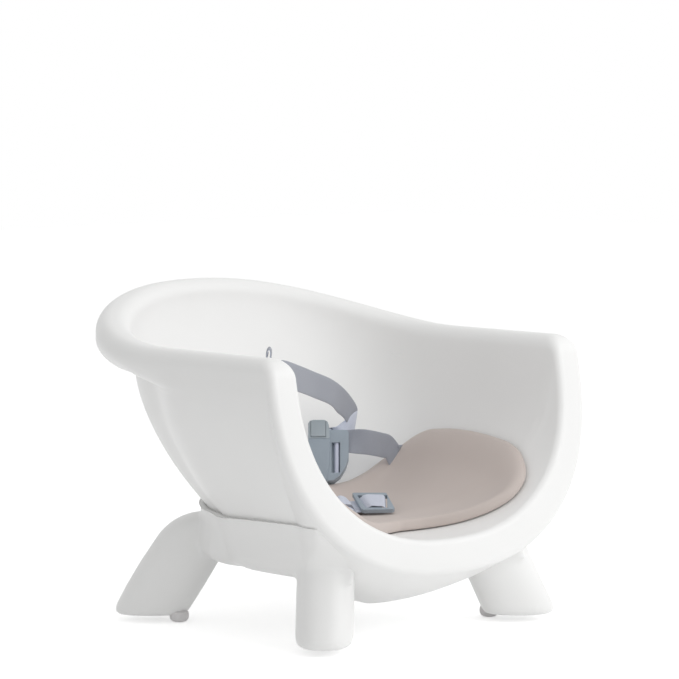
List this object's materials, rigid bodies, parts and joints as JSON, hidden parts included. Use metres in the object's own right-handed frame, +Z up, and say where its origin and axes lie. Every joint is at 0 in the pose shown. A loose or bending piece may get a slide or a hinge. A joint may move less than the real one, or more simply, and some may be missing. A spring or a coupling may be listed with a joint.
{
  "type": "low high chair booster seat",
  "caption": "Low tub-shaped high chair seat on a moulded cradle with short splayed legs, a contoured seat pad and a three-point harness.",
  "frame": {"origin": "middle of the seat's footprint, on the floor under the rubber feet", "axes": "+X to the seat's left-hand side as seen by the sitting child facing -Y, -Y out of the open front, +Z up"},
  "size_m": [0.414, 0.3962, 0.325],
  "materials": {
    "webbing": "woven webbing",
    "steel": "zinc plated",
    "brass": "turned",
    "rubber_grey": "matt",
    "shell_white": "satin moulded",
    "pad_foam": "matt moulded foam",
    "buckle_grey": "satin moulded",
    "button_grey": "satin moulded"
  },
  "bodies": {
    "chair": {"waist_strap_left": "webbing", "anchor_plate_left": "steel", "anchor_screw_left": "steel", "waist_strap_right": "webbing", "anchor_plate_right": "steel", "anchor_screw_right": "steel", "crotch_strap": "webbing", "anchor_plate_crotch": "steel", "anchor_screw_crotch": "steel", "threaded_insert_front_left": "brass", "washer_front_left": "steel", "cradle_screw_front_left": "steel", "threaded_insert_rear_left": "brass", "washer_rear_left": "steel", "cradle_screw_rear_left": "steel", "threaded_insert_front_right": "brass", "washer_front_right": "steel", "cradle_screw_front_right": "steel", "threaded_insert_rear_right": "brass", "washer_rear_right": "steel", "cradle_screw_rear_right": "steel", "rubber_foot_front_left": "rubber_grey", "rubber_foot_rear_left": "rubber_grey", "rubber_foot_front_right": "rubber_grey", "rubber_foot_rear_right": "rubber_grey", "seat_shell": "shell_white", "base_cradle": "shell_white", "seat_pad": "pad_foam", "receiver_front": "buckle_grey", "receiver_back": "buckle_grey", "button_spring": "steel", "strap_bar_side": "button_grey", "crotch_plug": "buckle_grey"},
    "button": {"release_button": "button_grey"}
  },
  "joints": [
    {"name": "release_press", "type": "slide", "parent": "chair", "child": "button", "axis": [0.6055, 0.6353, -0.4794], "range_m": [0, 0.0018], "stiffness_N_per_m": 900}
  ]
}
